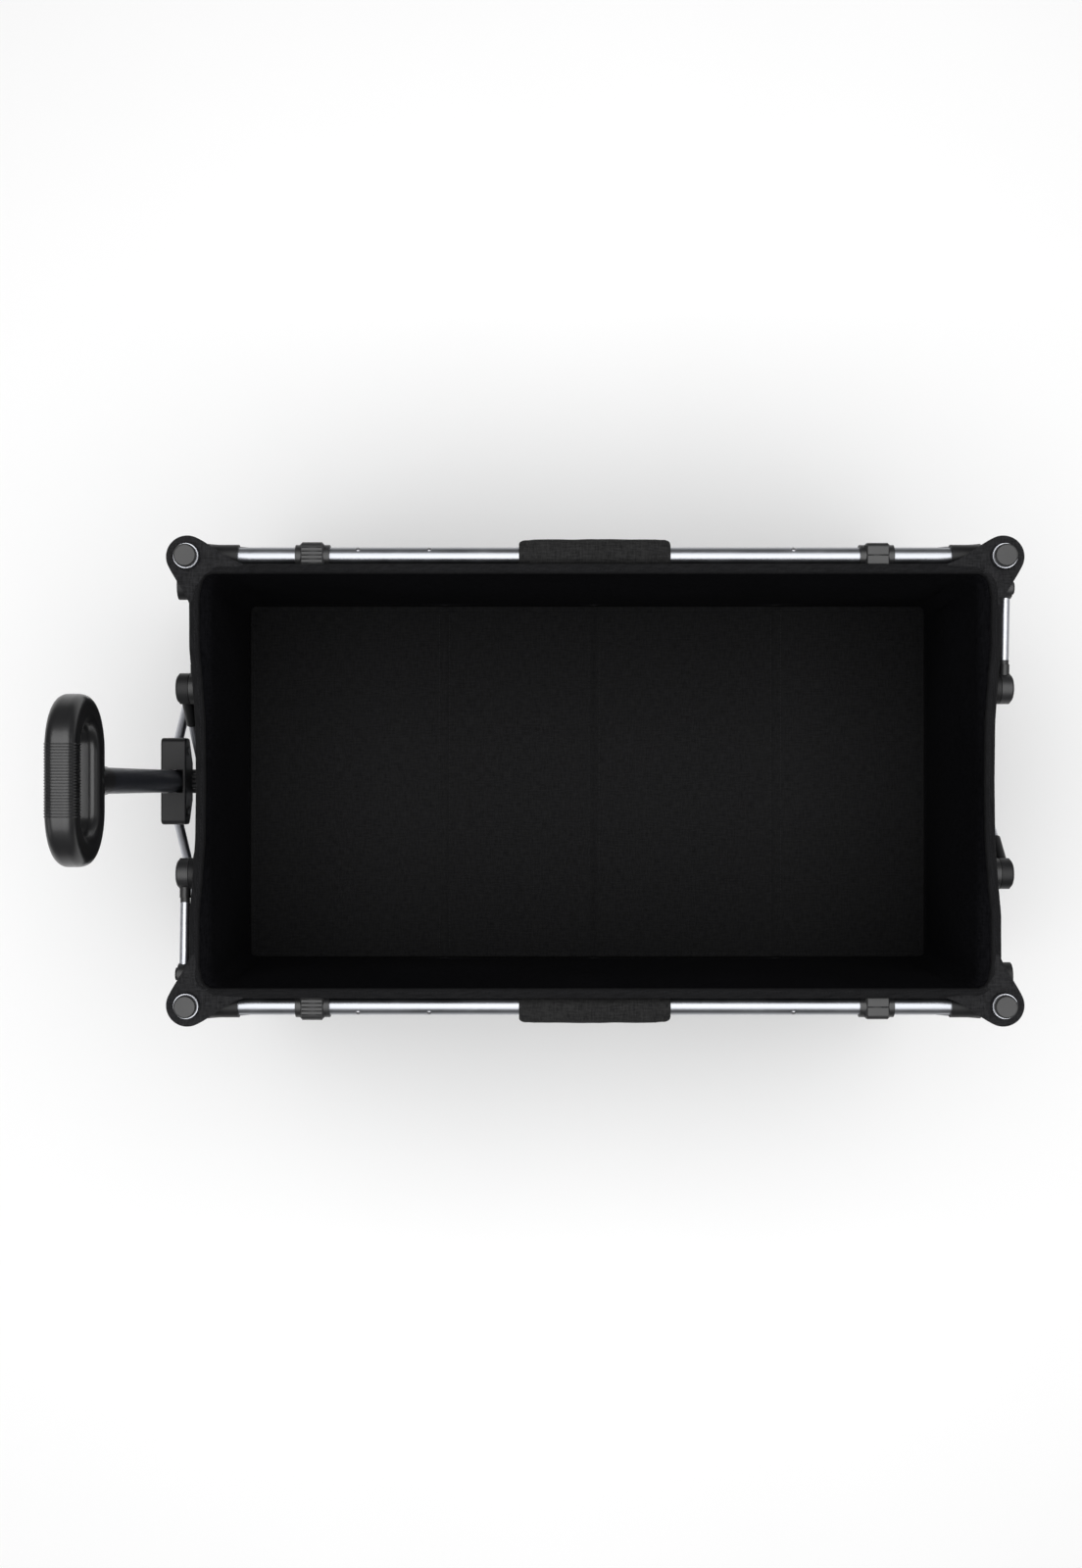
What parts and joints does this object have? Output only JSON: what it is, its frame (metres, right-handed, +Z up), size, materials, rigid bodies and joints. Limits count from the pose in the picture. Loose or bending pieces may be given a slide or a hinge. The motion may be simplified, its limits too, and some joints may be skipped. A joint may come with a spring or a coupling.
{
  "type": "folding pull wagon",
  "caption": "Folding pull wagon: an open fabric bag hung in a tubular frame that closes on crossed end bars, on rolling wheels, with a tilting telescopic handle.",
  "frame": {"origin": "middle of the bounding box on the ground plane under the wheels", "axes": "+X from the pull handle at the front to the rear end, +Y from the left side frame to the right one, +Z up"},
  "size_m": [0.9267, 0.5196, 0.8628],
  "materials": {
    "frame_aluminium": "satin drawn tube",
    "black_plastic": "fine moulded grain",
    "sleeve_fabric": "padded woven sleeve",
    "tyre_rubber": "matt rubber",
    "rim_plastic": "moulded",
    "fork_plastic": "moulded",
    "steel": "zinc plated",
    "hitch_metal": "black powder coat",
    "handle_metal": "anthracite coat",
    "slider_metal": "anthracite coat",
    "grip_plastic": "glossy with fine ribs",
    "bag_fabric": "coated plain weave",
    "mat_fabric": "coated plain weave over stiff boards"
  },
  "bodies": {
    "left_side_frame": {"left_front_post": "frame_aluminium", "left_rear_post": "frame_aluminium", "left_post_caps": "black_plastic", "left_corner_brackets": "black_plastic", "left_foot_brackets": "black_plastic", "left_top_rail": "frame_aluminium", "left_bottom_rail": "frame_aluminium", "left_rail_fittings": "black_plastic", "left_braces": "frame_aluminium", "left_grip_sleeve": "sleeve_fabric", "left_rear_fork": "fork_plastic", "left_rear_axle": "steel", "bag": "bag_fabric", "base_mat": "mat_fabric"},
    "front_left_crossbar": {"front_left_bar": "frame_aluminium", "front_left_knee_hub": "black_plastic"},
    "hitch": {"handle_hitch": "hitch_metal", "handle_block": "black_plastic", "handle_tilt_pin": "steel", "front_centre_bolt": "steel"},
    "front_right_crossbar": {"front_right_bar": "frame_aluminium", "front_right_knee_hub": "black_plastic"},
    "right_side_frame": {"right_front_post": "frame_aluminium", "right_rear_post": "frame_aluminium", "right_post_caps": "black_plastic", "right_corner_brackets": "black_plastic", "right_foot_brackets": "black_plastic", "right_top_rail": "frame_aluminium", "right_bottom_rail": "frame_aluminium", "right_rail_fittings": "black_plastic", "right_braces": "frame_aluminium", "right_grip_sleeve": "sleeve_fabric", "right_rear_fork": "fork_plastic", "right_rear_axle": "steel"},
    "rear_left_crossbar": {"rear_left_bar": "frame_aluminium", "rear_left_knee_hub": "black_plastic", "rear_centre_bolt": "steel"},
    "rear_right_crossbar": {"rear_right_bar": "frame_aluminium", "rear_right_knee_hub": "black_plastic"},
    "front_left_knee_arm": {"front_left_arm": "frame_aluminium"},
    "front_right_knee_arm": {"front_right_arm": "frame_aluminium"},
    "rear_left_knee_arm": {"rear_left_arm": "frame_aluminium"},
    "rear_right_knee_arm": {"rear_right_arm": "frame_aluminium"},
    "left_strut": {"left_handle_strut": "frame_aluminium"},
    "right_strut": {"right_handle_strut": "frame_aluminium"},
    "handle": {"handle_tube": "handle_metal"},
    "handle_extension": {"handle_slider": "slider_metal", "handle_grip": "grip_plastic"},
    "left_front_caster": {"left_front_fork": "fork_plastic", "left_front_axle": "steel"},
    "right_front_caster": {"right_front_fork": "fork_plastic", "right_front_axle": "steel"},
    "left_front_wheel": {"left_front_tyre": "tyre_rubber", "left_front_rim": "rim_plastic"},
    "right_front_wheel": {"right_front_tyre": "tyre_rubber", "right_front_rim": "rim_plastic"},
    "left_rear_wheel": {"left_rear_tyre": "tyre_rubber", "left_rear_rim": "rim_plastic"},
    "right_rear_wheel": {"right_rear_tyre": "tyre_rubber", "right_rear_rim": "rim_plastic"}
  },
  "joints": [
    {"name": "fold", "type": "hinge", "parent": "left_side_frame", "child": "front_left_crossbar", "pos_m": [-0.42178, -0.1985, 0.215], "axis": [1, 0, 0], "range_deg": [0, 27], "deforming": ["bag", "base_mat"]},
    {"name": "hitch_level", "type": "hinge", "parent": "front_left_crossbar", "child": "hitch", "pos_m": [-0.42178, 0, 0.42025], "axis": [1, 0, 0], "range_deg": [-27, 0]},
    {"name": "front_cross", "type": "hinge", "parent": "hitch", "child": "front_right_crossbar", "pos_m": [-0.41078, 0, 0.42025], "axis": [1, 0, 0], "range_deg": [-27, 0]},
    {"name": "right_side_level", "type": "hinge", "parent": "front_right_crossbar", "child": "right_side_frame", "pos_m": [-0.41078, 0.1985, 0.215], "axis": [1, 0, 0], "range_deg": [0, 27]},
    {"name": "rear_left_foot", "type": "hinge", "parent": "left_side_frame", "child": "rear_left_crossbar", "pos_m": [0.41223, -0.1985, 0.215], "axis": [1, 0, 0], "range_deg": [0, 27]},
    {"name": "rear_right_foot", "type": "hinge", "parent": "right_side_frame", "child": "rear_right_crossbar", "pos_m": [0.42323, 0.1985, 0.215], "axis": [1, 0, 0], "range_deg": [-27, 0]},
    {"name": "left_strut_foot", "type": "hinge", "parent": "left_side_frame", "child": "left_strut", "pos_m": [-0.44798, -0.2315, 0.2422], "axis": [1, 0, 0], "range_deg": [0, 27]},
    {"name": "right_strut_foot", "type": "hinge", "parent": "right_side_frame", "child": "right_strut", "pos_m": [-0.44798, 0.2315, 0.2422], "axis": [1, 0, 0], "range_deg": [-27, 0]},
    {"name": "front_left_arm_hinge", "type": "hinge", "parent": "left_side_frame", "child": "front_left_knee_arm", "pos_m": [-0.42178, -0.1985, 0.5257], "axis": [1, 0, 0], "range_deg": [0, 68.84]},
    {"name": "front_right_arm_hinge", "type": "hinge", "parent": "right_side_frame", "child": "front_right_knee_arm", "pos_m": [-0.41078, 0.1985, 0.5257], "axis": [1, 0, 0], "range_deg": [-68.84, 0]},
    {"name": "rear_left_arm_hinge", "type": "hinge", "parent": "left_side_frame", "child": "rear_left_knee_arm", "pos_m": [0.41223, -0.1985, 0.5257], "axis": [1, 0, 0], "range_deg": [0, 68.84]},
    {"name": "rear_right_arm_hinge", "type": "hinge", "parent": "right_side_frame", "child": "rear_right_knee_arm", "pos_m": [0.42323, 0.1985, 0.5257], "axis": [1, 0, 0], "range_deg": [-68.84, 0]},
    {"name": "handle_tilt", "type": "hinge", "parent": "hitch", "child": "handle", "pos_m": [-0.44998, 0, 0.44095], "axis": [0, -1, 0], "range_deg": [0, 80]},
    {"name": "handle_slide", "type": "slide", "parent": "handle", "child": "handle_extension", "axis": [0, 0, 1], "range_m": [0, 0.188]},
    {"name": "left_front_swivel", "type": "hinge", "parent": "left_side_frame", "child": "left_front_caster", "pos_m": [-0.41478, -0.2285, 0.172], "axis": [0, 0, 1], "continuous": true},
    {"name": "right_front_swivel", "type": "hinge", "parent": "right_side_frame", "child": "right_front_caster", "pos_m": [-0.41478, 0.2285, 0.172], "axis": [0, 0, 1], "continuous": true},
    {"name": "left_front_roll", "type": "hinge", "parent": "left_front_caster", "child": "left_front_wheel", "pos_m": [-0.38677, -0.2285, 0.075], "axis": [0, 1, 0], "continuous": true},
    {"name": "right_front_roll", "type": "hinge", "parent": "right_front_caster", "child": "right_front_wheel", "pos_m": [-0.38677, 0.2285, 0.075], "axis": [0, 1, 0], "continuous": true},
    {"name": "left_rear_roll", "type": "hinge", "parent": "left_side_frame", "child": "left_rear_wheel", "pos_m": [0.38822, -0.2285, 0.075], "axis": [0, 1, 0], "continuous": true},
    {"name": "right_rear_roll", "type": "hinge", "parent": "right_side_frame", "child": "right_rear_wheel", "pos_m": [0.38822, 0.2285, 0.075], "axis": [0, 1, 0], "continuous": true}
  ],
  "couplings": [
    {"joint": "hitch_level", "follows": "fold", "ratio": -1},
    {"joint": "front_cross", "follows": "fold", "ratio": -1},
    {"joint": "right_side_level", "follows": "fold", "ratio": 1},
    {"joint": "rear_left_foot", "follows": "fold", "ratio": 1},
    {"joint": "rear_right_foot", "follows": "fold", "ratio": -1},
    {"joint": "left_strut_foot", "follows": "fold", "ratio": 1},
    {"joint": "right_strut_foot", "follows": "fold", "ratio": -1},
    {"joint": "front_left_arm_hinge", "follows": "fold", "ratio": 2.5498},
    {"joint": "front_right_arm_hinge", "follows": "fold", "ratio": -2.5498},
    {"joint": "rear_left_arm_hinge", "follows": "fold", "ratio": 2.5498},
    {"joint": "rear_right_arm_hinge", "follows": "fold", "ratio": -2.5498}
  ]
}
